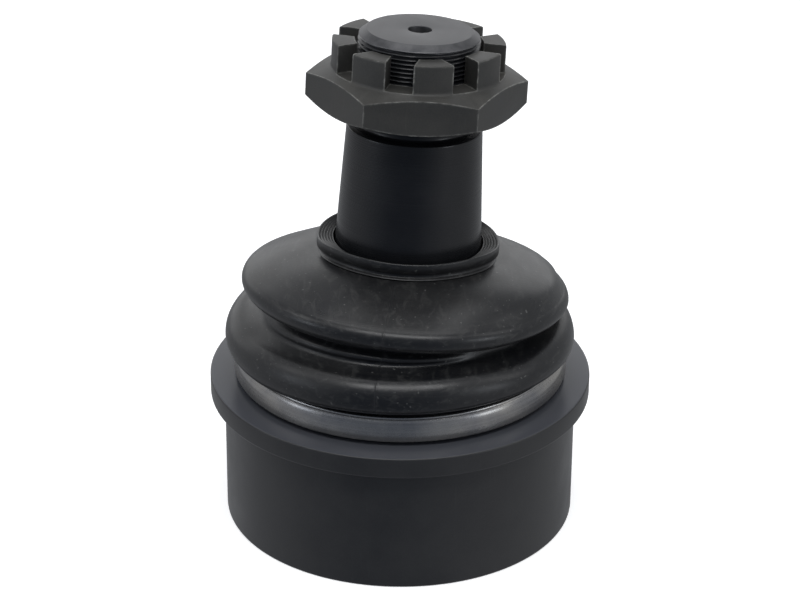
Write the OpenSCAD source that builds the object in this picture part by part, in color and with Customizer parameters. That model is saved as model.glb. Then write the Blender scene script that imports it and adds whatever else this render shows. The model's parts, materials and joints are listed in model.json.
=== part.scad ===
// Flanged press-in ball joint with a leaning taper stud, for a heavy steering or suspension arm.
// Millimetres. Origin: centre of the housing's bottom face. +Z runs up the housing's axis.

/* [Housing] */
// Outer diameter of the pressed-in body
body_d = 125; // [120:1:128]
// Outer diameter of the stop flange
flange_d = 135; // [133:1:145]
// Height of the flange's underside
flange_z = 46; // [44:1:47]
// Thickness of the flange
flange_t = 7.5; // [6:0.5:7.5]
// Chamfer on the body's and the flange's edges
edge_c = 0.6; // [0.2:0.1:1]

/* [Ball and bearing] */
// Height of the ball's centre
ball_z = 45; // [44:0.5:46]
// Diameter of the ball
ball_d = 62; // [60:0.5:62]
// Clearance between the ball and its races
ball_gap = 0.3; // [0.1:0.05:0.4]
// Outer diameter of the races
race_d = 80; // [78:1:84]

/* [Stud] */
// Angle between the stud and the housing's axis
stud_lean = 4.4; // [0:0.1:12]
// Direction of the lean, from +X towards +Y
lean_az = 55; // [0:1:359]
// Nominal thread diameter
thread_d = 42; // [40:1:42]
// Diameter of the taper's big end
taper_big_d = 52.6; // [52:0.2:54]
// Diameter that the taper loses for each millimetre of length
taper_rate = 0.1; // [0.09:0.005:0.11]
// Height of the taper's big end
taper_low_z = 88; // [86:1:90]
// Height of the taper's small end
taper_top_z = 144.4; // [142:0.2:145]
// Height of the stud's end face
stud_top_z = 178.5; // [177:0.5:180]
// Turn of the stud and its nut about the stud's axis
stud_turn = 2; // [0:0.1:59]

/* [Nut] */
// Width across the nut's flats
nut_af = 66; // [64:0.5:68]
// Height of the nut's underside
nut_low_z = 151.4; // [151:0.2:153]
// Height of the hexagon with its chamfers
hex_h = 13.2; // [11:0.2:14]
// Height of the whole nut
nut_h = 23.4; // [20:0.2:24]
// Outer diameter of the slotted crown
crown_d = 59.4; // [58:0.2:61]
// Number of slots
slots = 8; // [8]
// Width of a slot
slot_w = 9.6; // [8.2:0.2:10]

/* [Boot] */
// Largest diameter of the lower lobe
lobe_low_d = 123.8; // [120:0.2:126]
// Largest diameter of the upper lobe
lobe_top_d = 115.2; // [112:0.2:118]
// Outer diameter of the lip round the stud
lip_d = 64.4; // [62:0.2:66]
// Gap between the lip and the stud
lip_gap = 0.8; // [0.5:0.1:1.2]
// Thickness of the rubber
boot_t = 4; // [3.5:0.1:4.5]

/* [Hidden] */

$fn = 96;
seat_gap = 0.1;      // between pieces that sit in each other without moving
move_gap = 0.3;      // between pieces that move past each other
overrun = 1;         // how far a cutting shape runs past the face that it opens

body_r = body_d / 2;
flange_r = flange_d / 2;
flange_top = flange_z + flange_t;
ball_r = ball_d / 2;
race_r = race_d / 2;
socket_r = ball_r + ball_gap;

// housing
neck_r = 52;         // collar below the boot's bead
neck_top = 67.5;
groove_r = 49.5;     // groove that the boot's bead sits in
groove_low = flange_top + 1;
groove_top = 61.5;
bead_lip_r = 51.5;
mouth_c = 1;         // chamfer at the top of the neck and at the bottom of the counterbore
shoulder_z = 62.5;   // the upper race bears up against it
mouth_low_r = 27.5;
mouth_top_r = 29.5;
cover_r = 44;        // counterbore for the cover plate
cover_top = 12.4;
cover_t = 6.6;
cover_low = cover_top - cover_t;
ring_t = 2.5;        // snap ring
ring_groove_r = 46.5;
ring_slack = 0.05;

// races and preload stack
race_split = 0.6;    // half the gap between the two races
face_gap = 0.02;     // between the upper race and the shoulder
lower_race_low = 17.5;
lower_race_hole_r = 19;
shim_r = 38;
shim_hole_r = 24;
thick_shim_t = 1;
thin_shim_t = 0.5;
spring_t = 1.2;
spring_r = 37;
spring_hole_r = 25;
shims_top = cover_top + thick_shim_t + thin_shim_t;
spring_h = (lower_race_low - seat_gap - shims_top) / 2;
dowel_r = 2.5;
dowel_at = 34.5;
dowel_low = 58;
dowel_top = 66;
dowel_end_gap = 0.2;

// cover and grease fitting
seal_r = 1;
seal_z = 9;
seal_gap = 0.2;      // between the seal ring and its groove
snap_ring_w = 5.4;
lug_at = 39;         // snap ring's lugs, with holes for the pliers
lug_r = 3.5;
lug_hole_r = 1.3;
lug_turn = 14;
snap_gap_w = 11;
fitting_recess_r = 9;
fitting_recess = 4;
fitting_seat = cover_low + fitting_recess;
fitting_thread_r = 4;
fitting_thread_h = 5.4;
fitting_af = 10;
fitting_hex_h = 3.5;
fitting_low = 0.8;
head_r = 3.2;        // head that the grease coupler grips
head_tip_r = 2.2;
head_neck_r = 2.4;
head_c = 1.3;        // height of the head's cone
fitting_bore_r = 1.3;
mouth_bore_r = 0.7;
check_ball_r = 1.1;

// stud
ball_flat = 25;      // the ball's bottom flat, below its centre
neck_stud_r = 20;
neck_stud_top = 75;
neck_flare = 0.6;
shoulder_blend = 3;  // height of the round at each end of the shoulder's cone
relief_r = 19.6;
relief_edge = 0.8;
thread_r = thread_d / 2;
thread_low = 149.5;
end_chamfer = 2.1;
end_r = thread_r - 2.8;
taper_big_r = taper_big_d / 2;
taper_top_r = taper_big_r - taper_rate / 2 * (taper_top_z - taper_low_z);
centre_hole_r = 4.1;
centre_hole_h = 2.6;
centre_cone_h = 3.4;
centre_tip_r = 0.5;
cotter_r = 4;
cotter_turn = -15;   // from the stud's +X side
cotter_z = 169.5;
slot_floor = 165;

// nut
nut_edge_slope = tan(20);
nut_foot_slope = tan(25);
nut_top_c = 0.6;
slot_turn = 30;
hex_corner_r = nut_af / 2 / cos(30);
crown_r = crown_d / 2;
crown_in_r = 22;
nut_top_z = nut_low_z + nut_h;
foot_r = nut_af / 2 - 0.1;
nut_cone_r = hex_corner_r + 2;

// band
band_low = flange_top + 1.8;
band_top = flange_top + 10;
band_low_r = 58.9;
band_top_r = 57.1;
band_t = 1.4;
band_bulge = 2.3;    // how far the upper part curls inwards
band_mid_r = band_low_r - band_bulge - 0.3;
band_mid_z = band_low + 4.3;

// boot
bead_r = groove_r + move_gap;
bead_out_r = band_top_r - band_t - 0.4;
bead_low = groove_low + move_gap;
bead_top = groove_top - move_gap;
bead_ring_r = bead_r + 1.4;
bead_ring_low = 56.6;
bead_ring_top = 59.4;
lobe_low_z = 67.2;
lobe_top_z = 83.4;
lobe_low_r = lobe_low_d / 2;
lobe_top_r = lobe_top_d / 2;
lip_r = lip_d / 2;
lip_top = 103.5;
lip_h = 4;
lip_c = 0.4;
lip_in_r = taper_big_r - taper_rate / 2 * (lip_top - taper_low_z) + lip_gap;
crease_r = 51;
crease_z = 76;
crease_half_h = 4.5;  // half the height of the ring that joins the two halves
lobe_bulge = 5.5;
lip_ring_in_r = lip_in_r + 0.6;
lip_ring_r = lip_in_r + 2.4;
lip_ring_low = 96.2;
lip_ring_top = 98.8;

// Points along part of an ellipse, from angle a0 to angle a1
function arc(cx, cy, rx, ry, a0, a1, n = 10) =
    [for (i = [0:n]) let (a = a0 + (a1 - a0) * i / n) [cx + rx * cos(a), cy + ry * sin(a)]];

// Children made about the upright axis, leaned by a part of the stud's lean about the ball's centre
module leaned(share = 1) {
    translate([0, 0, ball_z])
        rotate(a = share * stud_lean, v = [-sin(lean_az), cos(lean_az), 0])
            translate([0, 0, -ball_z])
                children();
}

module ring(r, hole_r, z0, z1) {
    rotate_extrude()
        polygon([[hole_r, z0], [r, z0], [r, z1], [hole_r, z1]]);
}

module housing_profile() {
    c = edge_c;
    polygon([
        [cover_r + mouth_c, 0], [body_r - c, 0], [body_r, c], [body_r, flange_z],
        [flange_r - c, flange_z], [flange_r, flange_z + c], [flange_r, flange_top - c],
        [flange_r - c, flange_top], [neck_r, flange_top], [neck_r, groove_low],
        [groove_r, groove_low], [groove_r, groove_top], [bead_lip_r, groove_top],
        [bead_lip_r, neck_top - mouth_c], [bead_lip_r - mouth_c, neck_top], [mouth_top_r, neck_top],
        [mouth_low_r, shoulder_z], [race_r, shoulder_z], [race_r, cover_top],
        [cover_r, cover_top], [cover_r, cover_low], [ring_groove_r, cover_low],
        [ring_groove_r, cover_low - ring_t - 2 * ring_slack],
        [cover_r, cover_low - ring_t - 2 * ring_slack], [cover_r, mouth_c]
    ]);
}

module housing() {
    color([0.17, 0.17, 0.18])
        difference() {
            rotate_extrude()
                housing_profile();
            translate([dowel_at, 0, shoulder_z - overrun])
                cylinder(r = dowel_r + seat_gap, h = dowel_top + dowel_end_gap - shoulder_z + overrun);
        }
}

module upper_race() {
    color([0.55, 0.56, 0.58])
        difference() {
            ring(race_r - seat_gap, 0, ball_z + race_split, shoulder_z - face_gap);
            translate([0, 0, ball_z])
                sphere(r = socket_r);
            translate([dowel_at, 0, dowel_low - dowel_end_gap])
                cylinder(r = dowel_r + seat_gap, h = dowel_top - dowel_low);
        }
}

module race_dowel_pin() {
    color([0.6, 0.6, 0.6])
        translate([dowel_at, 0, dowel_low])
            cylinder(r = dowel_r, h = dowel_top - dowel_low);
}

module lower_race() {
    color([0.55, 0.56, 0.58])
        difference() {
            ring(race_r - move_gap, lower_race_hole_r, lower_race_low, ball_z - race_split);
            translate([0, 0, ball_z])
                sphere(r = socket_r);
        }
}

// A disc spring whose inner edge is high, made between z0 and z0 + spring_h
module disc_spring(z0) {
    rotate_extrude()
        polygon([
            [spring_r, z0], [spring_r, z0 + spring_t],
            [spring_hole_r, z0 + spring_h], [spring_hole_r, z0 + spring_h - spring_t]
        ]);
}

module lower_disc_spring() {
    color([0.35, 0.36, 0.38])
        translate([0, 0, 2 * shims_top + spring_h])
            mirror([0, 0, 1])
                disc_spring(shims_top);
}

module upper_disc_spring() {
    color([0.35, 0.36, 0.38])
        disc_spring(shims_top + spring_h);
}

module thick_shim() {
    color([0.6, 0.6, 0.55])
        ring(shim_r, shim_hole_r, cover_top, cover_top + thick_shim_t);
}

module thin_shim() {
    color([0.65, 0.62, 0.5])
        ring(shim_r, shim_hole_r, cover_top + thick_shim_t, shims_top);
}

module cover_plate() {
    groove_half_h = seal_r + seal_gap;
    color([0.3, 0.3, 0.32])
        difference() {
            ring(cover_r - seat_gap, 0, cover_low, cover_top);
            ring(cover_r + overrun, cover_r - 2 * seal_r - seal_gap,
                seal_z - groove_half_h, seal_z + groove_half_h);
            translate([0, 0, cover_low - overrun])
                cylinder(r = fitting_recess_r, h = fitting_recess + overrun);
            translate([0, 0, cover_low])
                cylinder(r = fitting_thread_r, h = cover_t + overrun);
        }
}

module cover_seal_ring() {
    color([0.08, 0.08, 0.08])
        rotate_extrude()
            translate([cover_r - seal_r - ring_slack, seal_z])
                circle(r = seal_r, $fn = 32);
}

module cover_snap_ring() {
    out_r = ring_groove_r - seat_gap;
    color([0.25, 0.25, 0.27])
        translate([0, 0, cover_low - ring_t - ring_slack])
            linear_extrude(ring_t)
                difference() {
                    union() {
                        difference() {
                            circle(r = out_r);
                            circle(r = out_r - snap_ring_w);
                        }
                        snap_ring_lugs(lug_r);
                    }
                    translate([-snap_gap_w / 2, lug_at - 2 * lug_r])
                        square([snap_gap_w, 8 * lug_r]);
                    snap_ring_lugs(lug_hole_r);
                }
}

// Circles at the snap ring's two ends
module snap_ring_lugs(r) {
    for (side = [-1, 1])
        rotate(90 + side * lug_turn)
            translate([lug_at, 0])
                circle(r = r);
}

module grease_fitting() {
    hex_low = fitting_seat - fitting_hex_h;
    cone_top = fitting_low + head_c;
    color([0.75, 0.7, 0.5])
        difference() {
            union() {
                translate([0, 0, hex_low])
                    cylinder(r = fitting_af / 2 / cos(30), h = fitting_hex_h, $fn = 6);
                translate([0, 0, fitting_seat])
                    cylinder(r = fitting_thread_r - ring_slack, h = fitting_thread_h);
                rotate_extrude()
                    polygon([
                        [0, fitting_low], [head_tip_r, fitting_low], [head_r, cone_top],
                        [head_r, cone_top + 0.7], [head_neck_r, cone_top + 1.7],
                        [head_neck_r, cone_top + 2.3], [fitting_thread_r, hex_low],
                        [fitting_thread_r, hex_low + 0.5], [0, hex_low + 0.5]
                    ]);
            }
            translate([0, 0, cone_top - seat_gap])
                cylinder(r = fitting_bore_r, h = 2 * cover_top);
            translate([0, 0, fitting_low - overrun])
                cylinder(r = mouth_bore_r, h = head_c + 2 * overrun);
        }
}

module fitting_check_ball() {
    color([0.8, 0.8, 0.82])
        translate([0, 0, fitting_low + head_c + check_ball_r])
            sphere(r = check_ball_r);
}

// Points round the wire of the check ball's spring, a ring of them for each step along the coil
function coil_points(r, wire_r, pitch, turns, steps, sides) = [
    for (i = [0:turns * steps], j = [0:sides - 1])
        let (a = 360 * i / steps, b = 360 * j / sides, rr = r + wire_r * cos(b))
            [rr * cos(a), rr * sin(a), pitch * i / steps + wire_r * sin(b)]
];

module fitting_spring() {
    turns = 5;
    pitch = 1.1;
    wire_r = 0.22;
    steps = 16;
    sides = 8;
    last = turns * steps;
    color([0.7, 0.7, 0.72])
        translate([0, 0, fitting_low + head_c + 2 * check_ball_r + wire_r + 0.08])
            polyhedron(
                points = coil_points(0.85, wire_r, pitch, turns, steps, sides),
                faces = concat(
                    [[for (j = [0:sides - 1]) j]],
                    [[for (j = [0:sides - 1]) (last + 1) * sides - 1 - j]],
                    [for (i = [0:last - 1], j = [0:sides - 1])
                        let (k = (j + 1) % sides)
                            [i * sides + k, i * sides + j, (i + 1) * sides + j, (i + 1) * sides + k]]
                )
            );
}

module boot_retaining_band() {
    color([0.42, 0.43, 0.45])
        rotate_extrude()
            polygon(concat(
                [[band_low_r - band_t, band_low], [band_low_r, band_low], [band_low_r, band_low + 0.4]],
                arc(band_mid_r, band_mid_z, band_bulge, band_top - band_mid_z, 0, 68, 6),
                [
                    [band_top_r - band_t, band_top - 0.3], [band_mid_r + 0.8, band_mid_z + 0.9],
                    [band_low_r - band_t - 0.1, band_mid_z - 1.5]
                ]
            ));
}

// Steel hoop in the bore of the boot's bead
module boot_bead_ring() {
    color([0.45, 0.46, 0.48])
        ring(bead_ring_r, bead_r + seat_gap, bead_ring_low, bead_ring_top);
}

// The bellows' lower half, upright: bead, lower lobe and the crease's lower side
module boot_lower_profile() {
    out = lobe_low_r - lobe_bulge;
    low_z = band_top + move_gap;
    hoop_r = bead_ring_r + move_gap;
    polygon(concat(
        [[bead_r, bead_low], [bead_out_r, bead_low], [bead_out_r, low_z]],
        arc(out, lobe_low_z, lobe_bulge, lobe_low_z - low_z, -90, 0, 6),
        arc(out, lobe_low_z, lobe_bulge, crease_z - 1 - lobe_low_z, 0, 90, 8),
        [[crease_r, crease_z], [crease_r - boot_t, crease_z]],
        arc(out - 1, lobe_low_z + 1, lobe_bulge - boot_t + 1, boot_t, 60, -60, 6),
        [
            [bead_lip_r + 2 * move_gap, bead_top + 2], [bead_lip_r + move_gap, bead_top],
            [bead_r, bead_top], [bead_r, bead_ring_top + move_gap],
            [hoop_r, bead_ring_top + move_gap], [hoop_r, bead_ring_low - move_gap],
            [bead_r, bead_ring_low - move_gap]
        ]
    ));
}

// The bellows' upper half, along the stud: the crease's upper side, upper lobe, dome and lip
module boot_upper_profile() {
    out = lobe_top_r - lobe_bulge;
    lip_low = lip_top - lip_h;
    ring_gap_r = lip_ring_r + move_gap;
    polygon(concat(
        [[crease_r - boot_t, crease_z - 1.5], [crease_r, crease_z - 1.5]],
        arc(out, lobe_top_z, lobe_bulge, lobe_top_z - crease_z - 0.5, -80, 60, 12),
        [
            [lip_r - 0.6, lip_low - 0.6], [lip_r - 1.4, lip_low], [lip_r, lip_low + lip_c],
            [lip_r, lip_top - lip_c], [lip_r - lip_c, lip_top], [lip_in_r, lip_top],
            [lip_in_r, lip_ring_top + move_gap], [ring_gap_r, lip_ring_top + move_gap],
            [ring_gap_r, lip_ring_low - move_gap], [lip_in_r + 1, lip_ring_low - move_gap]
        ],
        arc(out - 1, lobe_top_z - 0.5, lobe_bulge - boot_t + 1, boot_t - 0.5, 60, -80, 8)
    ));
}

module boot() {
    color([0.11, 0.11, 0.12])
        union() {
            rotate_extrude()
                boot_lower_profile();
            leaned(0.5)
                ring(crease_r + 0.2, crease_r - boot_t - 0.6, crease_z - crease_half_h,
                    crease_z + crease_half_h);
            leaned()
                rotate_extrude()
                    boot_upper_profile();
        }
}

module boot_lip_ring() {
    color([0.5, 0.5, 0.52])
        leaned()
            ring(lip_ring_r, lip_ring_in_r, lip_ring_low, lip_ring_top);
}

module stud_profile() {
    neck_a = asin(sqrt(1 - pow(neck_stud_r / ball_r, 2)));
    flat_a = asin(ball_flat / ball_r);
    polygon(concat(
        [[0, ball_z - ball_flat]],
        arc(0, ball_z, ball_r, ball_r, -flat_a, neck_a, 40),
        [
            [neck_stud_r, neck_stud_top - shoulder_blend], [neck_stud_r + neck_flare, neck_stud_top],
            [taper_big_r - relief_edge, taper_low_z - shoulder_blend], [taper_big_r, taper_low_z],
            [taper_top_r, taper_top_z - edge_c], [taper_top_r - edge_c, taper_top_z],
            [relief_r + relief_edge, taper_top_z], [relief_r, taper_top_z + relief_edge],
            [relief_r, thread_low - thread_r + relief_r], [thread_r, thread_low],
            [thread_r, stud_top_z - end_chamfer], [end_r, stud_top_z], [0, stud_top_z]
        ]
    ));
}

module ball_stud() {
    color([0.13, 0.13, 0.15])
        leaned()
            rotate(stud_turn)
                difference() {
                    rotate_extrude()
                        stud_profile();
                    translate([0, 0, stud_top_z - centre_hole_h])
                        cylinder(r = centre_hole_r, h = centre_hole_h + overrun);
                    translate([0, 0, stud_top_z - centre_hole_h - centre_cone_h])
                        cylinder(r1 = centre_tip_r, r2 = centre_hole_r, h = centre_cone_h);
                    translate([0, 0, cotter_z])
                        rotate([0, 0, cotter_turn])
                            rotate([0, 90, 0])
                                cylinder(r = cotter_r, h = 3 * thread_r, center = true);
                }
}

// Straight hexagon, cut back at its top and bottom corners by shallow cones
module nut_hex() {
    hex_top = nut_low_z + hex_h;
    intersection() {
        translate([0, 0, nut_low_z])
            cylinder(r = hex_corner_r, h = hex_h + overrun, $fn = 6);
        rotate_extrude()
            polygon([
                [0, nut_low_z], [foot_r, nut_low_z],
                [nut_cone_r, nut_low_z + nut_foot_slope * (nut_cone_r - foot_r)],
                [nut_cone_r, hex_top - nut_edge_slope * (nut_cone_r - crown_r)],
                [crown_r, hex_top], [0, hex_top]
            ]);
    }
}

module slotted_nut() {
    color([0.24, 0.24, 0.23])
        leaned()
            rotate(stud_turn)
                difference() {
                    union() {
                        nut_hex();
                        rotate_extrude()
                            polygon([
                                [crown_in_r, nut_low_z + hex_h - overrun],
                                [crown_r, nut_low_z + hex_h - overrun], [crown_r, nut_top_z - nut_top_c],
                                [crown_r - nut_top_c, nut_top_z], [crown_in_r, nut_top_z]
                            ]);
                    }
                    translate([0, 0, nut_low_z - overrun])
                        cylinder(r = thread_r + seat_gap, h = nut_h + 2 * overrun);
                    for (k = [0:slots - 1])
                        rotate(slot_turn + 360 / slots * k)
                            translate([crown_in_r - 3, -slot_w / 2, slot_floor])
                                cube([crown_r, slot_w, nut_h]);
                }
}

housing();
upper_race();
race_dowel_pin();
lower_race();
upper_disc_spring();
lower_disc_spring();
thin_shim();
thick_shim();
cover_plate();
cover_seal_ring();
cover_snap_ring();
grease_fitting();
fitting_check_ball();
fitting_spring();
boot_retaining_band();
boot_bead_ring();
boot();
boot_lip_ring();
ball_stud();
slotted_nut();
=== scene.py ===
import json
import math

import bmesh
import bpy
from mathutils import Matrix, Vector, noise


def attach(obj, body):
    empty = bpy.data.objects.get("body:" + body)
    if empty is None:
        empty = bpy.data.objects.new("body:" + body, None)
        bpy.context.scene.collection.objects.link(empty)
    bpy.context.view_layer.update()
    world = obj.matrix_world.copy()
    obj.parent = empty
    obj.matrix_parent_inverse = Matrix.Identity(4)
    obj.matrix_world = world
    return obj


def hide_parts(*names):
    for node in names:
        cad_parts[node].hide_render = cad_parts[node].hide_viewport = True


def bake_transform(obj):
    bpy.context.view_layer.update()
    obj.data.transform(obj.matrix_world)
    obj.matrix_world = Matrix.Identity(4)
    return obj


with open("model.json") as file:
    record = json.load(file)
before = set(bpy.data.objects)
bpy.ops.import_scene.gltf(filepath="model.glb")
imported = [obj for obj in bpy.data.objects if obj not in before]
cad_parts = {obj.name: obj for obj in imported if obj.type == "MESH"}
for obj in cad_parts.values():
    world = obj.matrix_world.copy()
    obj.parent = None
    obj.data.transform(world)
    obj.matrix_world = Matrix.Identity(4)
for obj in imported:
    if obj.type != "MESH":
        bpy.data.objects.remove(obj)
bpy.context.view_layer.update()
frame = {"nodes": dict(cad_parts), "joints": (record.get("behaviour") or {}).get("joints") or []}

MM = 0.001
JOINTS = {j["name"]: j for j in frame["joints"]}
BALL = Vector(JOINTS["stud_spin"]["pos_m"])
STUD_AXIS = Vector(JOINTS["stud_spin"]["axis"])
LEAN = Vector((0, 0, 1)).rotation_difference(STUD_AXIS).to_matrix()
LEAN_AZ = math.atan2(STUD_AXIS.y, STUD_AXIS.x)
STUD_TURN = math.radians(2.0)

# ---- sizes, millimetres ----
BODY_R, FLANGE_R = 62.5, 67.5
FLANGE_LOW, FLANGE_TOP = 46.0, 53.5
LEDGE_R, LEDGE_H = 52.0, 1.0
NECK_R, NECK_GROOVE_R, NECK_GROOVE_TOP, NECK_TOP = 51.5, 49.5, 61.5, 67.5
MOUTH_R, THROAT_R, THROAT_Z = 29.5, 27.5, 62.5
SOCKET_R, COVER_R, CIRCLIP_R = 40.0, 44.0, 46.5
CIRCLIP_LOW, COVER_LOW, COVER_TOP = 3.2, 5.8, 12.4
BAND_LOW, BAND_TOP = 55.3, 63.5
BAND_LOW_R, BAND_TOP_R = 58.9, 57.1
BAND_WALL, BAND_BULGE = 1.4, 2.3
BALL_R, BALL_Z, BALL_FLAT = 31.0, 45.0, 25.0
STUD_NECK_R = 20.0
TAPER_LOW, TAPER_TOP = 88.0, 144.4
TAPER_LOW_R, TAPER_TOP_R = 26.3, 23.48
RELIEF_R = 19.6
THREAD_R, THREAD_LOW, PITCH = 21.0, 149.5, 1.5
STUD_TOP, END_R, END_CHAMFER = 178.5, 18.2, 2.1
CENTRE_HOLE_R = 4.1
COTTER_R, COTTER_Z, COTTER_TURN = 4.0, 169.5, math.radians(-15)
NUT_LOW, NUT_TOP, HEX_TOP = 151.4, 174.8, 164.6
NUT_AF, CROWN_R, CROWN_IN_R = 66.0, 29.7, 22.0
NUT_EDGE = 0.6
SLOTS, SLOT_W, SLOT_FLOOR, FIRST_SLOT = 8, 9.6, 165.0, math.radians(30)
FOOT_SLOPE, TOP_SLOPE = math.tan(math.radians(25)), math.tan(math.radians(20))
LIP_R, LIP_TOP = 32.0, 103.5


# ---- mesh tools ----

def rounded(points, steps=4):
    """Outline with its corners rounded: each point is (r, z) or (r, z, fillet radius)."""
    out = []
    count = len(points)
    for i, p in enumerate(points):
        here = Vector(p[:2])
        fillet = p[2] if len(p) > 2 else 0
        to_last = Vector(points[i - 1][:2]) - here
        to_next = Vector(points[(i + 1) % count][:2]) - here
        if not fillet or to_last.length < 1e-9 or to_next.length < 1e-9:
            out.append(tuple(here))
            continue
        half = to_last.angle(to_next) / 2
        cut = min(fillet / math.tan(half), to_last.length * 0.49, to_next.length * 0.49)
        a = here + to_last.normalized() * cut
        b = here + to_next.normalized() * cut
        for k in range(steps + 1):
            t = k / steps
            out.append(tuple((1 - t) ** 2 * a + 2 * t * (1 - t) * here + t * t * b))
    return out


def arc(cx, cy, rx, ry, a0, a1, steps=10):
    """Points along part of an ellipse, from angle a0 to a1 in degrees."""
    out = []
    for i in range(steps + 1):
        a = math.radians(a0 + (a1 - a0) * i / steps)
        out.append((cx + rx * math.cos(a), cy + ry * math.sin(a)))
    return out


def revolved(outline, columns, place, closed=True):
    """Mesh of an outline turned about the axis. place(i, r, z, angle) gives each point in metres."""
    bm = bmesh.new()
    rows = []
    for i, (r, z) in enumerate(outline):
        if r < 1e-6:
            rows.append([bm.verts.new(place(i, 0.0, z, 0.0))])
        else:
            rows.append([bm.verts.new(place(i, r, z, a)) for a in columns])
    n = len(columns)
    pairs = len(rows) if closed else len(rows) - 1
    for i in range(pairs):
        low, top = rows[i], rows[(i + 1) % len(rows)]
        for k in range(n):
            m = (k + 1) % n
            if len(low) == 1 and len(top) == 1:
                continue
            if len(low) == 1:
                bm.faces.new((low[0], top[m], top[k]))
            elif len(top) == 1:
                bm.faces.new((low[k], low[m], top[0]))
            else:
                bm.faces.new((low[k], low[m], top[m], top[k]))
    bmesh.ops.recalc_face_normals(bm, faces=bm.faces)
    return bm


def even_columns(count):
    return [2 * math.pi * k / count for k in range(count)]


def upright(i, r, z, angle):
    return Vector((r * math.cos(angle), r * math.sin(angle), z)) * MM


def leaned(point):
    """A point of the upright stud, in metres, where the leaned stud has it."""
    return BALL + LEAN @ (point - BALL)


def on_stud(i, r, z, angle):
    return leaned(upright(i, r, z, angle + STUD_TURN))


def smooth(mesh, sharp):
    """Smooth shading, broken where faces meet at more than sharp degrees."""
    for p in mesh.polygons:
        p.use_smooth = True
    mesh.set_sharp_from_angle(angle=math.radians(sharp))


def bake(obj, mod):
    """Makes a modifier's result the object's own mesh."""
    graph = bpy.context.evaluated_depsgraph_get()
    graph.update()
    mesh = bpy.data.meshes.new_from_object(obj.evaluated_get(graph))
    obj.modifiers.remove(mod)
    old = obj.data
    obj.data = mesh
    bpy.data.meshes.remove(old)


def finish_mesh(bm, name, body, sharp=35):
    """Object from a bmesh, smooth except at sharp edges, riding on a body if one is named."""
    mesh = bpy.data.meshes.new(name)
    bm.to_mesh(mesh)
    bm.free()
    smooth(mesh, sharp)
    obj = bpy.data.objects.new(name, mesh)
    bpy.context.scene.collection.objects.link(obj)
    if body:
        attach(obj, body)
    return obj


def cut(obj, cutters, operation="DIFFERENCE"):
    """Carves obj with other meshes and removes them."""
    for cutter in cutters:
        mod = obj.modifiers.new("cut", "BOOLEAN")
        mod.operation = operation
        mod.solver = "EXACT"
        mod.object = cutter
        bake(obj, mod)
        bpy.data.objects.remove(cutter)


def tool_mesh(bm):
    """A loose mesh object in the leaned stud's place, used only for carving."""
    for v in bm.verts:
        v.co = leaned(v.co)
    mesh = bpy.data.meshes.new("tool")
    bm.to_mesh(mesh)
    bm.free()
    obj = bpy.data.objects.new("tool", mesh)
    bpy.context.scene.collection.objects.link(obj)
    return obj


def bevelled(obj, width):
    """Rounds obj's sharp edges and keeps the result as its mesh."""
    mod = obj.modifiers.new("round", "BEVEL")
    mod.width = width * MM
    mod.segments = 3
    mod.limit_method = "ANGLE"
    mod.angle_limit = math.radians(28)
    mod.use_clamp_overlap = True
    bake(obj, mod)
    smooth(obj.data, 40)


# ---- materials ----

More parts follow.
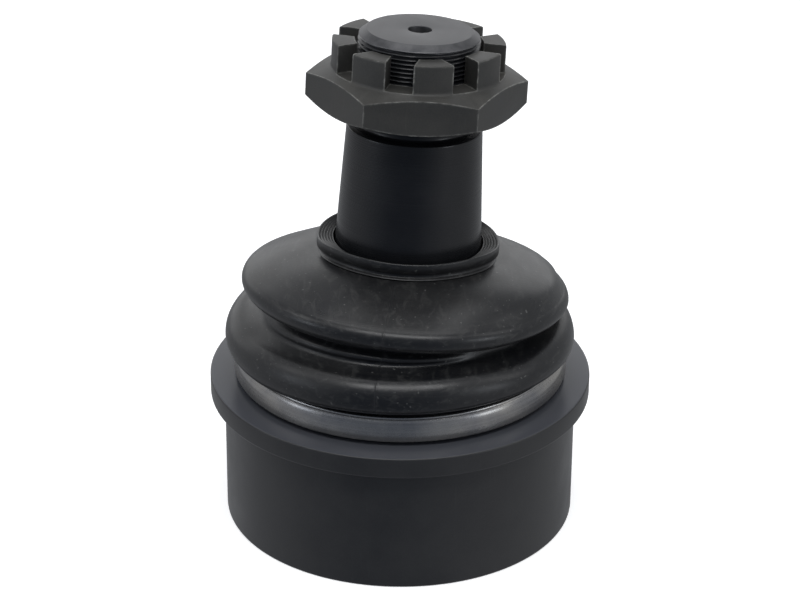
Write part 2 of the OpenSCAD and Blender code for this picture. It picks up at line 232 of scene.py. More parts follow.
class Shader:
    """A node material with short calls for the nodes used here."""

    def __init__(self, name, rough, metal=0.0, specular=0.5):
        self.mat = bpy.data.materials.new(name)
        self.mat.use_nodes = True
        self.tree = self.mat.node_tree
        self.bsdf = self.tree.nodes["Principled BSDF"]
        self.bsdf.inputs["Roughness"].default_value = rough
        self.bsdf.inputs["Metallic"].default_value = metal
        self.bsdf.inputs["Specular IOR Level"].default_value = specular
        coord = self.tree.nodes.new("ShaderNodeTexCoord")
        self.place = coord.outputs["Object"]

    def link(self, a, b):
        self.tree.links.new(a, b)

    def scaled(self, scale):
        """Object coordinates in millimetres times scale (x, y, z)."""
        node = self.tree.nodes.new("ShaderNodeMapping")
        node.inputs["Scale"].default_value = [s * 1000 for s in scale]
        self.link(self.place, node.inputs["Vector"])
        return node.outputs["Vector"]

    def noise(self, scale, detail=4.0, rough=0.55, vector=None, distort=0.0):
        """Noise with about one blob every 1/scale millimetres."""
        node = self.tree.nodes.new("ShaderNodeTexNoise")
        node.inputs["Scale"].default_value = 1.0
        node.inputs["Detail"].default_value = detail
        node.inputs["Roughness"].default_value = rough
        node.inputs["Distortion"].default_value = distort
        if not isinstance(scale, tuple):
            scale = (scale, scale, scale)
        self.link(vector or self.scaled(scale), node.inputs["Vector"])
        return node.outputs["Fac"]

    def ramp(self, value, stops):
        """Maps a value through (position, grey or colour) stops."""
        node = self.tree.nodes.new("ShaderNodeValToRGB")
        ramp = node.color_ramp
        while len(ramp.elements) < len(stops):
            ramp.elements.new(0.5)
        for element, (at, colour) in zip(ramp.elements, stops):
            element.position = at
            if not isinstance(colour, tuple):
                colour = (colour, colour, colour)
            element.color = (*colour, 1.0)
        self.link(value, node.inputs["Fac"])
        return node.outputs["Color"]

    def mix(self, factor, a, b):
        """Mixes two colours; each of factor, a and b is a socket or a plain value."""
        node = self.tree.nodes.new("ShaderNodeMix")
        node.data_type = "RGBA"
        for socket, value in ((node.inputs[0], factor), (node.inputs[6], a), (node.inputs[7], b)):
            if isinstance(value, bpy.types.NodeSocket):
                self.link(value, socket)
            elif socket is node.inputs[0]:
                socket.default_value = value
            else:
                socket.default_value = (*value, 1.0)
        return node.outputs[2]

    def math(self, kind, a, b):
        node = self.tree.nodes.new("ShaderNodeMath")
        node.operation = kind
        for socket, value in ((node.inputs[0], a), (node.inputs[1], b)):
            if isinstance(value, bpy.types.NodeSocket):
                self.link(value, socket)
            else:
                socket.default_value = value
        return node.outputs[0]

    def tops(self):
        """1 on faces that look straight up, 0 elsewhere."""
        geometry = self.tree.nodes.new("ShaderNodeNewGeometry")
        split = self.tree.nodes.new("ShaderNodeSeparateXYZ")
        self.link(geometry.outputs["Normal"], split.inputs[0])
        return self.ramp(split.outputs["Z"], [(0.80, 0.0), (0.96, 1.0)])

    def edges(self, radius):
        """About 1 on sharp outer edges and 0 on flat faces."""
        bevel = self.tree.nodes.new("ShaderNodeBevel")
        bevel.samples = 6
        bevel.inputs["Radius"].default_value = radius * MM
        plain = self.tree.nodes.new("ShaderNodeNewGeometry")
        dot = self.tree.nodes.new("ShaderNodeVectorMath")
        dot.operation = "DOT_PRODUCT"
        self.link(bevel.outputs["Normal"], dot.inputs[0])
        self.link(plain.outputs["Normal"], dot.inputs[1])
        return self.ramp(dot.outputs["Value"], [(0.80, 1.0), (0.985, 0.0)])

    def axial(self, axis, origin):
        """Distance from an axis line and height along it, in millimetres."""
        shift = self.tree.nodes.new("ShaderNodeVectorMath")
        shift.operation = "SUBTRACT"
        self.link(self.place, shift.inputs[0])
        shift.inputs[1].default_value = origin
        height = self.tree.nodes.new("ShaderNodeVectorMath")
        height.operation = "DOT_PRODUCT"
        self.link(shift.outputs[0], height.inputs[0])
        height.inputs[1].default_value = axis
        cross = self.tree.nodes.new("ShaderNodeVectorMath")
        cross.operation = "CROSS_PRODUCT"
        self.link(shift.outputs[0], cross.inputs[0])
        cross.inputs[1].default_value = axis
        length = self.tree.nodes.new("ShaderNodeVectorMath")
        length.operation = "LENGTH"
        self.link(cross.outputs[0], length.inputs[0])
        return (self.math("MULTIPLY", length.outputs["Value"], 1000.0),
                self.math("MULTIPLY", height.outputs["Value"], 1000.0))

    def turned(self, axis, origin, per_mm):
        """Fine lathe rings: noise that varies only with radius and height."""
        radius, height = self.axial(axis, origin)
        join = self.tree.nodes.new("ShaderNodeCombineXYZ")
        self.link(self.math("MULTIPLY", radius, per_mm), join.inputs[0])
        self.link(self.math("MULTIPLY", height, per_mm), join.inputs[1])
        return self.noise(1.0, detail=3.0, rough=0.7, vector=join.outputs[0])

    def bump(self, value, strength, distance, under=None):
        """Adds a bump of distance millimetres and passes it to the surface."""
        node = self.tree.nodes.new("ShaderNodeBump")
        node.inputs["Strength"].default_value = strength
        node.inputs["Distance"].default_value = distance * MM
        self.link(value, node.inputs["Height"])
        if under is not None:
            self.link(under, node.inputs["Normal"])
        self.link(node.outputs["Normal"], self.bsdf.inputs["Normal"])
        return node.outputs["Normal"]

    def colour(self, socket):
        self.link(socket, self.bsdf.inputs["Base Color"])

    def rough(self, socket):
        self.link(socket, self.bsdf.inputs["Roughness"])


UP = (0.0, 0.0, 1.0)
BASE = (0.0, 0.0, 0.0)


def phosphate(name, dark, light, edge, axis, origin, rough, wear, edge_r=0.5, top=None):
    """Dark phosphated steel: soft blotches, fine crystals, faint turning rings and rubbed edges.

    edge_r is how far the rubbing reaches in, mm. top, if given, is a lighter colour painted on faces that
    look up: painted sheen standing in for the reflections such faces catch."""
    s = Shader(name, 0.5, specular=0.42)
    blotch = s.noise(0.05, detail=5.0, rough=0.6)
    grain = s.noise(3.5, detail=2.0)
    streak = s.noise((0.9, 0.9, 0.035), detail=3.0, rough=0.6)
    rings = s.turned(axis, origin, 1.6)
    base = s.mix(s.ramp(blotch, [(0.35, 0.0), (0.68, 1.0)]), dark, light)
    base = s.mix(s.ramp(grain, [(0.4, 0.0), (0.75, 0.35)]), base, tuple(c * 1.6 for c in light))
    base = s.mix(s.ramp(streak, [(0.62, 0.0), (0.8, 0.22)]), base, tuple(c * 2.0 for c in light))
    rubbed = s.ramp(s.noise(0.35, detail=3.0), [(0.4, 0.15 * wear), (0.7, wear)])
    worn = s.math("MULTIPLY", s.edges(edge_r), rubbed)
    shade = s.ramp(blotch, [(0.3, rough[0]), (0.7, rough[1])])
    # Painted sheen: faces that look up take the lighter top colour in place of the reflections they catch,
    # and also a lower roughness.
    if top:
        base = s.mix(s.tops(), base, top)
        shade = s.mix(s.tops(), shade, (0.24, 0.24, 0.24))
    s.colour(s.mix(worn, base, edge))
    s.rough(s.mix(worn, shade, (0.35, 0.35, 0.35)))
    under = s.bump(rings, 0.25, 0.02)
    s.bump(grain, 0.35, 0.03, under)
    return s.mat


def band_steel():
    """Drawn steel ring: streaks round the axis, light handling marks, darker patches."""
    s = Shader("band_steel", 0.34, metal=0.9, specular=0.5)
    rings = s.turned(UP, BASE, 2.6)
    patch = s.noise(0.06, detail=4.0)
    fine = s.noise(1.4, detail=4.0)
    base = s.mix(s.ramp(patch, [(0.35, 0.0), (0.7, 1.0)]), (0.22, 0.22, 0.23), (0.44, 0.42, 0.385))
    base = s.mix(s.ramp(rings, [(0.42, 0.0), (0.62, 0.4)]), base, (0.46, 0.46, 0.45))
    s.colour(s.mix(s.edges(0.25), base, (0.8, 0.8, 0.8)))
    grain = s.math("ADD", s.math("MULTIPLY", rings, 0.65), s.math("MULTIPLY", fine, 0.35))
    s.rough(s.ramp(grain, [(0.35, 0.24), (0.65, 0.34)]))
    s.bump(rings, 0.12, 0.02)
    return s.mat


def boot_rubber():
    """Black rubber: dusty bloom, fine skin, mould flow lines, dust specks and rub marks on the dome."""
    s = Shader("boot_rubber", 0.34, specular=0.5)
    bloom = s.noise(0.035, detail=5.0, rough=0.6, distort=0.4)
    skin = s.noise(1.1, detail=5.0, rough=0.6)
    flow = s.turned(tuple(STUD_AXIS), tuple(BALL), 0.9)
    specks = s.noise(0.9, detail=1.0, rough=0.3)
    rub = s.noise((0.30, 0.06, 0.5), detail=5.0, rough=0.65, distort=0.8)
    clean, dusty = (0.0058, 0.0064, 0.0082), (0.0125, 0.0126, 0.0128)
    base = s.mix(s.ramp(bloom, [(0.32, 0.0), (0.70, 1.0)]), clean, dusty)
    base = s.mix(s.ramp(skin, [(0.45, 0.0), (0.8, 0.5)]), base, (0.015, 0.015, 0.014))
    base = s.mix(s.ramp(flow, [(0.52, 0.0), (0.72, 0.30)]), base, (0.022, 0.022, 0.021))
    base = s.mix(s.ramp(rub, [(0.52, 0.0), (0.72, 0.65)]), base, (0.046, 0.046, 0.044))
    s.colour(s.mix(s.ramp(specks, [(0.74, 0.0), (0.78, 0.7)]), base, (0.10, 0.10, 0.095)))
    s.rough(s.ramp(s.math("ADD", s.math("MULTIPLY", bloom, 0.6), s.math("MULTIPLY", rub, 0.4)),
                   [(0.35, 0.27), (0.65, 0.42)]))
    under = s.bump(skin, 0.25, 0.05)
    under = s.bump(flow, 0.12, 0.05, under)
    s.bump(specks, 0.2, 0.08, under)
    return s.mat


def stud_black():
    """Ground, blackened and oiled steel with fine rings round the stud."""
    s = Shader("stud_black", 0.28, specular=0.42)
    rings = s.turned(tuple(STUD_AXIS), tuple(BALL), 3.0)
    patch = s.noise(0.07, detail=4.0)
    base = s.mix(s.ramp(patch, [(0.35, 0.0), (0.7, 1.0)]), (0.0055, 0.006, 0.0075), (0.010, 0.0105, 0.012))
    s.colour(s.mix(s.edges(0.3), base, (0.12, 0.12, 0.125)))
    s.rough(s.ramp(rings, [(0.35, 0.24), (0.65, 0.36)]))
    s.bump(rings, 0.18, 0.012)
    return s.mat


def stud_end_grey():
    """The stud's turned end: grey metal far lighter than the shank, its lightness partly painted sheen
    standing in for the light the end face reflects, with concentric tool marks and a few stains.
    """
    s = Shader("stud_end_grey", 0.42, metal=0.75, specular=0.5)
    rings = s.turned(tuple(STUD_AXIS), tuple(BALL), 1.8)
    stain = s.noise(0.22, detail=5.0)
    base = s.mix(s.ramp(stain, [(0.3, 0.0), (0.7, 1.0)]), (0.068, 0.069, 0.073), (0.130, 0.130, 0.134))
    s.colour(s.mix(s.edges(0.35), base, (0.34, 0.34, 0.34)))
    s.rough(s.ramp(stain, [(0.3, 0.34), (0.7, 0.5)]))
    s.bump(rings, 0.5, 0.02)
    return s.mat


def bearing_steel():
    """Ground bearing steel with a thin film of grease."""
    s = Shader("bearing_steel", 0.25, metal=1.0)
    rings = s.turned(UP, BASE, 2.0)
    film = s.noise(0.12, detail=4.0)
    s.colour(s.mix(s.ramp(film, [(0.4, 0.0), (0.7, 1.0)]), (0.42, 0.43, 0.45), (0.34, 0.30, 0.22)))
    s.rough(s.ramp(rings, [(0.3, 0.18), (0.7, 0.34)]))
    s.bump(rings, 0.2, 0.01)
    return s.mat


def blued_steel():
    """Oil-blacked spring steel with bright rubbed edges."""
    s = Shader("blued_steel", 0.35, metal=0.8)
    film = s.noise(0.2, detail=4.0)
    base = s.mix(s.ramp(film, [(0.35, 0.0), (0.7, 1.0)]), (0.045, 0.047, 0.055), (0.085, 0.085, 0.09))
    s.colour(s.mix(s.edges(0.3), base, (0.3, 0.3, 0.3)))
    s.rough(s.ramp(film, [(0.3, 0.28), (0.7, 0.45)]))
    s.bump(s.noise(2.0), 0.15, 0.02)
    return s.mat


def rolled_shim():
    """Plain rolled shim stock with straight roll marks."""
    s = Shader("rolled_shim", 0.35, metal=1.0)
    marks = s.noise((0.05, 2.0, 1.0), detail=3.0)
    s.colour(s.mix(s.ramp(marks, [(0.35, 0.0), (0.65, 1.0)]), (0.40, 0.39, 0.35), (0.52, 0.50, 0.44)))
    s.rough(s.ramp(marks, [(0.3, 0.28), (0.7, 0.42)]))
    s.bump(marks, 0.2, 0.01)
    return s.mat


def yellow_zinc():
    """Yellow-passivated zinc with a faint rainbow drift."""
    s = Shader("yellow_zinc", 0.3, metal=1.0)
    drift = s.noise(0.35, detail=3.0)
    s.colour(s.ramp(drift, [(0.3, (0.55, 0.42, 0.18)), (0.5, (0.62, 0.52, 0.26)), (0.7, (0.48, 0.40, 0.30))]))
    s.rough(s.ramp(s.noise(1.5), [(0.3, 0.24), (0.7, 0.40)]))
    s.bump(s.noise(3.0), 0.12, 0.01)
    return s.mat


def seal_rubber():
    """Smooth black O-ring rubber."""
    s = Shader("seal_rubber", 0.4, specular=0.4)
    film = s.noise(0.5, detail=4.0)
    s.colour(s.mix(s.ramp(film, [(0.4, 0.0), (0.7, 1.0)]), (0.010, 0.010, 0.011), (0.020, 0.020, 0.019)))
    s.rough(s.ramp(film, [(0.3, 0.34), (0.7, 0.5)]))
    s.bump(film, 0.15, 0.02)
    return s.mat


def pale_floor():
    """Plain pale studio floor, partly lit from inside as a light table is."""
    s = Shader("pale_floor", 0.9, specular=0.1)
    s.colour(s.ramp(s.noise(0.01, detail=2.0), [(0.3, 0.86), (0.7, 0.88)]))
    s.bsdf.inputs["Emission Color"].default_value = (1.0, 1.0, 1.0, 1.0)
    s.bsdf.inputs["Emission Strength"].default_value = 0.55
    return s.mat


# ---- pieces ----

def housing_piece():
    """Turned body with its flange, the neck's groove for the boot, the socket and the circlip's groove."""
    outline = rounded([
        (COVER_R + 1, 0, 0.4), (BODY_R, 0, 0.9), (BODY_R, FLANGE_LOW, 0.5),
        (FLANGE_R, FLANGE_LOW, 0.8), (FLANGE_R, FLANGE_TOP, 0.7),
        (LEDGE_R, FLANGE_TOP, 0.5), (LEDGE_R, FLANGE_TOP + LEDGE_H, 0.2),
        (NECK_GROOVE_R, FLANGE_TOP + LEDGE_H, 0.4), (NECK_GROOVE_R, NECK_GROOVE_TOP, 0.4),
        (NECK_R, NECK_GROOVE_TOP, 0.3), (NECK_R, NECK_TOP, 1.0), (MOUTH_R, NECK_TOP, 0.4),
        (THROAT_R, THROAT_Z, 0.2), (SOCKET_R, THROAT_Z), (SOCKET_R, COVER_TOP), (COVER_R, COVER_TOP),
        (COVER_R, COVER_LOW), (CIRCLIP_R, COVER_LOW), (CIRCLIP_R, CIRCLIP_LOW), (COVER_R, CIRCLIP_LOW),
        (COVER_R, 1),
    ])
    bm = revolved(outline, even_columns(256), upright)
    obj = finish_mesh(bm, "housing_shell", "housing")
    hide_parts("housing")
    return obj


def band_piece():
    """Slightly conical steel ring, rounded over at its top."""
    mid_r, mid_z = BAND_LOW_R - BAND_BULGE - 0.3, BAND_LOW + 4.3
    outline = [(BAND_LOW_R - BAND_WALL, BAND_LOW), (BAND_LOW_R - 0.4, BAND_LOW)]
    outline += [(BAND_LOW_R - 0.1, BAND_LOW + 0.1), (BAND_LOW_R, BAND_LOW + 0.4)]
    outline += [(BAND_LOW_R - 0.12, BAND_LOW + 2.4)]
    outline += arc(mid_r, mid_z, BAND_BULGE, BAND_TOP - mid_z, 0, 66, 14)
    outline += [(BAND_TOP_R, BAND_TOP - 0.02), (BAND_TOP_R - 0.2, BAND_TOP)]
    outline += [(BAND_TOP_R - BAND_WALL, BAND_TOP - 0.3)]
    outline += [(BAND_TOP_R, mid_z + 0.9), (BAND_LOW_R - BAND_WALL - 0.1, mid_z - 1.5)]
    bm = revolved(outline, even_columns(256), upright)
    obj = finish_mesh(bm, "retaining_band", "housing", 40)
    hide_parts("boot_retaining_band")
    return obj


# The bellows is set out column by column. facing is 1 where the stud leans to and -1 on the other side, so
# the folds open up on one side and close on the other.
LOBE_TILT = 2.5                 # degrees that the upper lobe tips further than the stud
FOLD_AZ = math.radians(249)     # where the middle fold stands out most
LIFT_AZ = math.radians(285)     # where the lower lobe stands highest off the band
SWELL_AZ = math.radians(260)    # where the lower lobe's top is fullest
DOME_AZ = math.radians(-8)      # where the dome's foot is fullest
FRONT_AZ = math.radians(270)    # where the lip's rim stands up most
SEAM = math.radians(262.4)      # where the mould's parting line runs up the boot
SEAM_HALF = 0.006               # half the parting line's width, radians
SEAM_H = 0.12                   # and its height
BEAD_IN_R, BEAD_R, BEAD_LOW = 50.2, 55.3, 54.9
LOBE_R, LOBE_Z, LOBE_THICK = 53.0, 84.6, 4.6    # middle of the upper lobe, and its half width
LIP_FOOT_Z, LIP_FOOT_RISE = 97.5, 1.8           # where the dome meets the lip, and how much higher in front
LIP_DISH = 3.2                  # how far the lip's rim stands above its bore in front
RIBS, RIB_PITCH, RIB_H, RIB_STEPS = 5, 1.02, 0.55, 6
FOLD_STEPS, DOME_STEPS = 16, 12
SKIN = 2.4                      # wall of the fold


def ease(low, high, value):
    """0 below low, 1 above high, smooth between."""
    t = min(1.0, max(0.0, (value - low) / (high - low)))
    return t * t * (3 - 2 * t)


def lower_lobe(facing, lift, swell):
    """Bead and lower lobe, up to the crease; none of it leans. lift raises its belly, swell its top."""
    closed = ease(0.2, 1.0, facing)
    mid_z = 68.4 - 0.8 * closed + 0.9 * lift
    belly = 6.45 - 0.7 * closed
    crease_z = 75.8 + 2.2 * swell
    low_z = BAND_TOP + 0.4 + 1.6 * lift
    out = [(BEAD_IN_R, BEAD_LOW), (BEAD_R - 0.1, BEAD_LOW), (BEAD_R, BAND_TOP)]
    out += arc(56.4, mid_z, belly - 1.0, mid_z - low_z, -100, 0, 12)
    return out + arc(55.0, mid_z, belly + 0.4, crease_z - mid_z, 0, 88, 12)[1:]


def upper_lobe(facing, near, foot_z):
    """Upper lobe and dome, as (radius, height, tilt) in the stud's frame. near swells the dome's foot."""
    over = 4.3
    under = over - 1.8 * ease(-0.7, 0.5, facing)
    lobe = arc(LOBE_R, LOBE_Z, LOBE_THICK, under, -104, 0, 10)
    lobe += arc(LOBE_R, LOBE_Z, LOBE_THICK, over, 0, 62, 8)[1:]
    bow = 0.8 + 3.0 * near
    out = [(r, z, LOBE_TILT) for r, z in lobe]
    start = Vector(lobe[-1])
    end = Vector((31.5, foot_z))
    for i in range(1, DOME_STEPS + 1):
        t = i / DOME_STEPS
        r, z = start.lerp(end, t)
        swell = bow * math.sin(math.pi * t ** (1.1 - 0.5 * near)) * (1 - 0.55 * near * t)
        out.append((r, z + swell - 0.3 * ease(0.8, 1.0, t), LOBE_TILT * (1 - t)))
    return out


def boot_lip(foot_z, low, top, dish):
    """The lip round the stud: a bead and neck, its wall, the ribs on its dished top and its bore."""
    neck = low - foot_z
    rim = top + dish
    bead = 31.2 + 0.33 * dish
    out = [(bead - 0.15, foot_z - 0.1), (bead, foot_z + 0.15), (bead - 0.15, foot_z + 0.4),
           (LIP_R - 0.9, foot_z + 0.5), (LIP_R - 1.1, foot_z + 0.4 * neck),
           (LIP_R - 1.2, foot_z + 0.7 * neck),
           (LIP_R - 1.0, low - 0.1), (LIP_R - 0.3, low), (LIP_R, low + 0.3), (LIP_R, rim - 0.45),
           (LIP_R - 0.12, rim - 0.1), (LIP_R - 0.4, rim)]
    start = LIP_R - 0.5
    width = RIBS * RIB_PITCH
    for k in range(RIBS * RIB_STEPS):
        dip = RIB_H * (1 - math.cos(2 * math.pi * k / RIB_STEPS)) / 2
        inward = k / (RIBS * RIB_STEPS)
        out.append((start - width * inward, rim - dip - dish * inward))
    bore = start - width
    return out + [(bore, top - 0.1), (bore - 0.25, top - 0.4), (bore - 0.3, LIP_TOP - 4.5),
                  (bore + 0.2, LIP_TOP - 7.8), (bore + 4.0, LIP_TOP - 9.0)]


def stud_point(r, z, tilt, angle):
    """Where the leaned stud's frame has a point whose ring tips tilt degrees further."""
    point = leaned(upright(0, r, z, angle))
    point.z -= r * MM * math.tan(math.radians(tilt)) * math.cos(angle - LEAN_AZ)
    return point


def boot_column(angle):
    """The bellows' section at an angle: up the outside, over the lip and down the inside."""
    facing = math.cos(angle - LEAN_AZ)
    out_dir = Vector((math.cos(angle), math.sin(angle), 0))
    lift = ease(0.3, 0.95, math.cos(angle - LIFT_AZ))
    swell = ease(0.5, 0.95, math.cos(angle - SWELL_AZ))
    low = [upright(0, r, z, angle) for r, z in lower_lobe(facing, lift, swell)]
    near = ease(0.3, 0.95, math.cos(angle - DOME_AZ))
    front = math.cos(angle - FRONT_AZ)
    foot_z = LIP_FOOT_Z + LIP_FOOT_RISE * ease(0.0, 0.9, front)
    top = [stud_point(r, z, tilt, angle) for r, z, tilt in upper_lobe(facing, near, foot_z)]
    fold_depth = 2.7 * ease(0.5, 0.97, math.cos(angle - FOLD_AZ))
    valley = 4.0 - 2.2 * ease(0.0, 0.8, facing)
    fold = []
    for i in range(1, FOLD_STEPS):
        t = i / FOLD_STEPS
        ridge = math.sin(math.pi * min(1.0, max(0.0, (t - 0.25) / 0.6))) ** 1.5
        bulge = fold_depth * ridge - valley * math.sin(math.pi * t) ** 0.7
        fold.append(low[-1].lerp(top[0], t) + out_dir * bulge * MM)
    outside = low + fold + top
    off = abs(angle - SEAM) / SEAM_HALF
    ridge = SEAM_H * max(0.0, 1 - off * off)
    for point in outside[3:]:
        wave = noise.noise(Vector((out_dir.x * 1.3, out_dir.y * 1.3, point.z * 30)))
        point += out_dir * (0.3 * wave + ridge) * MM
    lip_low = foot_z + 1.9 + 0.3 * ease(0.0, 0.9, front)
    lip_top = LIP_TOP - 0.8 - 0.9 * front
    dish = LIP_DISH * ease(-0.1, 0.9, front)
    lip = [stud_point(r, z, 0.0, angle) for r, z in boot_lip(foot_z, lip_low, lip_top, dish)]
    inside = [stud_point(r, z, tilt, angle) for r, z, tilt in [
        (40.0, 88.5, 1.0), (47.0, 85.9, 1.8), (50.2, 85.0, 2.5), (50.4, 83.8, 2.5), (49.0, 82.6, 2.5)]]
    inner_low = [upright(0, r, z, angle) for r, z in [
        (50.4, 74.0), (54.4, 71.5), (56.4, 68.8), (54.8, 66.6), (52.8, 64.8), (52.3, 62.4), (51.9, 61.4),
        (BEAD_IN_R, 61.1), (BEAD_IN_R, 59.8), (51.5, 59.8), (51.5, 56.2), (BEAD_IN_R, 56.2)]]
    inside += [inside[-1].lerp(inner_low[0], k / 3) - out_dir * SKIN * MM for k in (1, 2)]
    return outside + lip + inside + inner_low


def boot_piece():
    """The bellows: a column of points every 1.25 degrees, closer together at the parting line."""
    near = [SEAM + SEAM_HALF * k / 3 for k in range(-3, 4)]
    columns = sorted([a for a in even_columns(288) if abs(a - SEAM) > 1.2 * SEAM_HALF] + near)
    sections = {a: boot_column(a) for a in columns}
    count = len(sections[SEAM])
    bm = revolved([(1, 0)] * count, columns, lambda i, r, z, angle: sections[angle][i])
    obj = finish_mesh(bm, "bellows_boot", None, 60)
    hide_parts("boot")
    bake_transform(obj)
    return obj


def thread_rows(low, top):
    """Points up the thread's crest, eight to a pitch."""
    rows = []
    count = int((top - low) / PITCH * 8)
    for i in range(count + 1):
        rows.append((THREAD_R, low + (top - low) * i / count))
    return rows


def stud_piece():
    """Ball, neck, taper, threaded end with a real thread, and the cross hole for a cotter pin."""
    neck_a = math.degrees(math.acos(STUD_NECK_R / BALL_R))
    flat_a = math.degrees(math.asin(BALL_FLAT / BALL_R))
    ball = arc(0, BALL_Z, BALL_R, BALL_R, -flat_a, neck_a, 40)
    shank = rounded([
        (STUD_NECK_R, 72.5, 3), (STUD_NECK_R + 0.6, 75, 3),
        (TAPER_LOW_R - 0.8, TAPER_LOW - 3, 1.5), (TAPER_LOW_R, TAPER_LOW, 1.5),
        (TAPER_TOP_R, TAPER_TOP, 0.7), (RELIEF_R, TAPER_TOP + 0.3, 1.4), (RELIEF_R, THREAD_LOW - 1.6, 0.8),
    ])
    thread = thread_rows(THREAD_LOW, STUD_TOP - END_CHAMFER - 0.4)
    end = rounded([
        (THREAD_R, STUD_TOP - END_CHAMFER, 0.25), (END_R, STUD_TOP, 0.35), (CENTRE_HOLE_R, STUD_TOP, 0.25),
        (CENTRE_HOLE_R - 0.1, STUD_TOP - 2.6, 0.3), (0.6, STUD_TOP - 6, 0.2), (0, STUD_TOP - 6.2),
    ])
    outline = [(0, BALL_Z - BALL_FLAT)] + ball + shank + thread + end
    first = 1 + len(ball) + len(shank)
    last = first + len(thread)

    def place(i, r, z, angle):
        if first <= i < last:
            phase = (z / PITCH - angle / (2 * math.pi)) % 1.0
            ridge = min(1.0, max(0.0, 2.6 * abs(phase - 0.5) - 0.15))
            start = min(1.0, (z - THREAD_LOW) / 1.5)
            r -= 0.9 * (1 - ridge) * start + 1.2 * (1 - start)
        return on_stud(i, r, z, angle)

    bm = revolved(outline, even_columns(224), place, closed=False)
    obj = finish_mesh(bm, "ball_stud_body", "stud", 30)
    drill = bmesh.new()
    bmesh.ops.create_cone(drill, cap_ends=True, segments=48, radius1=COTTER_R * MM, radius2=COTTER_R * MM,
                          depth=3 * THREAD_R * MM)
    turn = Matrix.Rotation(COTTER_TURN + STUD_TURN, 4, "Z") @ Matrix.Rotation(math.radians(90), 4, "Y")
    drill.transform(Matrix.Translation((0, 0, COTTER_Z * MM)) @ turn)
    cut(obj, [tool_mesh(drill)])
    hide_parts("ball_stud")
    return obj


def nut_piece():
    """Hexagon cut from a turned blank, with slots across its round crown."""
    corner_r = NUT_AF / 2 / math.cos(math.radians(30))
    far = corner_r + 2
    low_z = NUT_LOW + FOOT_SLOPE * (far - NUT_AF / 2)
    top_z = HEX_TOP - TOP_SLOPE * (far - CROWN_R)
    outline = rounded([
        (THREAD_R + 1.2, NUT_LOW), (NUT_AF / 2 - 0.1, NUT_LOW, 0.5), (far, low_z), (far, top_z),
        (CROWN_R, HEX_TOP + 0.2, 1.6), (CROWN_R, NUT_TOP, 0.8), (CROWN_IN_R, NUT_TOP, 0.3),
        (CROWN_IN_R, SLOT_FLOOR - 1.5, 0.3), (THREAD_R + 0.15, SLOT_FLOOR - 2.5),
        (THREAD_R + 0.15, NUT_LOW + 1.1),
    ])
    bm = revolved(outline, even_columns(192), on_stud)
    obj = finish_mesh(bm, "slotted_nut_body", "stud")
    hexagon = bmesh.new()
    bmesh.ops.create_cone(hexagon, cap_ends=True, segments=6, radius1=corner_r * MM, radius2=corner_r * MM,
                          depth=60 * MM)
    first = hexagon.verts[:][0].co
    corner_turn = STUD_TURN - math.atan2(first.y, first.x)
    hexagon.transform(Matrix.Translation((0, 0, SLOT_FLOOR * MM)) @ Matrix.Rotation(corner_turn, 4, "Z"))
    cut(obj, [tool_mesh(hexagon)], "INTERSECT")
    tools = []
    for k in range(SLOTS):
        slot = bmesh.new()
        bmesh.ops.create_cube(slot, size=1.0)
        turn = Matrix.Rotation(FIRST_SLOT + 2 * math.pi * k / SLOTS + STUD_TURN, 4, "Z")
        size = Matrix.Diagonal((20 * MM, SLOT_W * MM, 20 * MM, 1))
        at = Matrix.Translation((28.5 * MM, 0, (SLOT_FLOOR + 10) * MM))
        slot.transform(turn @ at @ size)
        tools.append(tool_mesh(slot))
    cut(obj, tools)
    bevelled(obj, NUT_EDGE)
    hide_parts("slotted_nut")
    return obj


# ---- the object ----

shell = housing_piece()
band = band_piece()
boot = boot_piece()
stud = stud_piece()
nut = nut_piece()

# The housing's top colour is painted sheen: a lighter, bluish tint on its upward faces standing in for the
# reflections they catch.
housing_mat = phosphate("housing_phosphate", (0.021, 0.021, 0.022), (0.031, 0.031, 0.031),
                        (0.05, 0.05, 0.05), UP, BASE, rough=(0.30, 0.42), wear=0.4, top=(0.064, 0.067, 0.077))
nut_mat = phosphate("nut_phosphate", (0.031, 0.031, 0.029), (0.050, 0.048, 0.043), (0.36, 0.36, 0.33),
                    tuple(STUD_AXIS), tuple(BALL), rough=(0.42, 0.55), wear=1.0, edge_r=1.1)
stud_mat, end_mat = stud_black(), stud_end_grey()
bearing, blued, shim = bearing_steel(), blued_steel(), rolled_shim()
zinc, seal = yellow_zinc(), seal_rubber()

for piece, slot_name, material in (
    (shell, "housing_phosphate", housing_mat), (band, "band_steel", band_steel()),
    (boot, "boot_rubber", boot_rubber()), (stud, "stud_steel", stud_mat), (nut, "nut_phosphate", nut_mat),
):
    piece.data.materials.clear()
    piece.data.materials.append(material)

# The end face takes the lighter grey, which is partly painted sheen for the light it reflects.
stud.data.materials.append(end_mat)
end_plane = leaned(Vector((0, 0, (STUD_TOP - END_CHAMFER - 0.6) * MM)))
for face in stud.data.polygons:
    if (face.center - end_plane).dot(STUD_AXIS) > 0:
        face.material_index = 1

CAD_LOOKS = {
    "upper_race": bearing, "lower_race": bearing, "race_dowel_pin": bearing, "fitting_check_ball": bearing,
    "boot_lip_ring": bearing, "upper_disc_spring": blued, "lower_disc_spring": blued, "fitting_spring": blued,
    "cover_snap_ring": blued, "thin_shim": shim, "thick_shim": shim, "cover_plate": housing_mat,
    "boot_bead_ring": blued, "cover_seal_ring": seal, "grease_fitting": zinc,
}
for node_name, material in CAD_LOOKS.items():
    node_obj = frame["nodes"][node_name]
    node_obj.data.materials.clear()
    node_obj.data.materials.append(material)


# ---- studio ----

VIEW_ELEVATION = math.radians(26.21)
VIEW_DISTANCE = 0.9557
AIM = Vector((-0.0002, 0, 0.0798))
ROLL = math.radians(0.44)
LENS = 122.0
LIGHT_AIM = Vector((0, 0, 0.09))


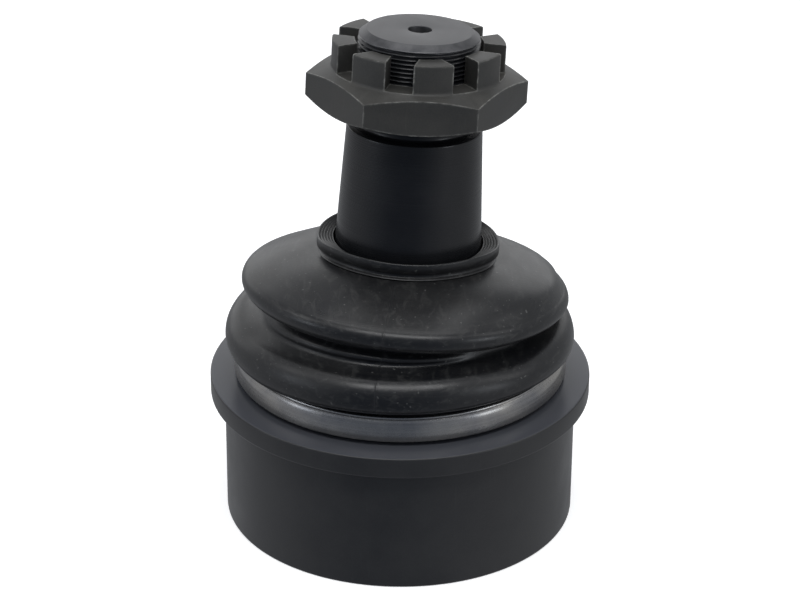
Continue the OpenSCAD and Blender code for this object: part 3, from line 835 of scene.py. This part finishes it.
def make_camera():
    """The photo's view: a long lens, looking down a little and turned slightly on its axis."""
    data = bpy.data.cameras.new("camera")
    data.lens = LENS
    data.sensor_width = 36.0
    data.clip_end = 50.0
    cam = bpy.data.objects.new("camera", data)
    bpy.context.scene.collection.objects.link(cam)
    back = Vector((0, -math.cos(VIEW_ELEVATION), math.sin(VIEW_ELEVATION)))
    cam.location = AIM + back * VIEW_DISTANCE
    turn = back.to_track_quat("Z", "Y").to_matrix() @ Matrix.Rotation(ROLL, 3, "Z")
    cam.rotation_euler = turn.to_euler()
    bpy.context.scene.camera = cam


def softbox(name, at, size, radiance, colour=(1.0, 1.0, 1.0)):
    """Evenly lit panel that faces the object. radiance 1 is the brightness of white paper in the picture."""
    data = bpy.data.lights.new(name, "AREA")
    data.shape = "RECTANGLE"
    data.size, data.size_y = size
    data.energy = radiance * math.pi * size[0] * size[1]
    data.color = colour
    light = bpy.data.objects.new(name, data)
    bpy.context.scene.collection.objects.link(light)
    light.location = at
    light.rotation_euler = (Vector(at) - LIGHT_AIM).to_track_quat("Z", "Y").to_euler()


def make_world():
    """Room that is dim in front of the object and grows brighter to the back and the right."""
    world = bpy.data.worlds.new("studio")
    bpy.context.scene.world = world
    world.use_nodes = True
    tree = world.node_tree
    coord = tree.nodes.new("ShaderNodeTexCoord")
    split = tree.nodes.new("ShaderNodeSeparateXYZ")
    tree.links.new(coord.outputs["Generated"], split.inputs[0])
    span = tree.nodes.new("ShaderNodeMapRange")
    span.inputs["From Min"].default_value = -1.0
    span.inputs["From Max"].default_value = 1.0
    right = tree.nodes.new("ShaderNodeMath")
    right.operation = "MAXIMUM"
    right.inputs[1].default_value = 0.0
    tree.links.new(split.outputs["X"], right.inputs[0])
    lean = tree.nodes.new("ShaderNodeMath")
    lean.operation = "MULTIPLY_ADD"
    lean.inputs[1].default_value = 0.6
    tree.links.new(right.outputs[0], lean.inputs[0])
    tree.links.new(split.outputs["Y"], lean.inputs[2])
    tree.links.new(lean.outputs[0], span.inputs["Value"])
    ramp = tree.nodes.new("ShaderNodeValToRGB")
    stops = [(0.05, (0.12, 0.14, 0.18)), (0.22, (0.27, 0.29, 0.33)), (0.45, (0.44, 0.45, 0.48)),
             (1.0, (0.38, 0.39, 0.405))]
    ramp.color_ramp.elements.new(0.3)
    ramp.color_ramp.elements.new(0.5)
    for element, (at, colour) in zip(ramp.color_ramp.elements, stops):
        element.position = at
        element.color = (*colour, 1.0)
    tree.links.new(span.outputs["Result"], ramp.inputs["Fac"])
    tree.links.new(ramp.outputs["Color"], tree.nodes["Background"].inputs["Color"])


def make_studio():
    """Floor, room and panels."""
    bm = bmesh.new()
    bmesh.ops.create_grid(bm, x_segments=8, y_segments=8, size=12.0)
    mesh = bpy.data.meshes.new("floor")
    bm.to_mesh(mesh)
    bm.free()
    floor = bpy.data.objects.new("floor", mesh)
    floor.data.materials.append(pale_floor())
    floor.visible_glossy = False
    floor.visible_diffuse = False
    floor.visible_shadow = False
    bpy.context.scene.collection.objects.link(floor)
    make_world()
    softbox("back_panel", (-0.4, 2.6, 0.75), (4.6, 1.5), 0.7)
    softbox("top_panel", (0.0, -0.8, 1.7), (1.6, 0.6), 4.4)
    softbox("over_panel", (0.0, 0.45, 1.8), (1.3, 0.6), 2.0)
    softbox("left_panel", (-1.7, -0.05, 1.6), (0.7, 0.8), 1.6)
    softbox("right_panel", (1.7, -0.05, 1.6), (0.7, 0.8), 1.4)
    softbox("left_window", (-1.69, -0.62, 0.55), (0.5, 0.55), 2.2, colour=(0.86, 0.92, 1.0))
    softbox("right_window", (1.56, -0.9, 0.55), (0.5, 0.55), 3.0, colour=(0.90, 0.95, 1.0))
    bpy.context.scene.view_settings.view_transform = "Standard"


make_camera()
make_studio()
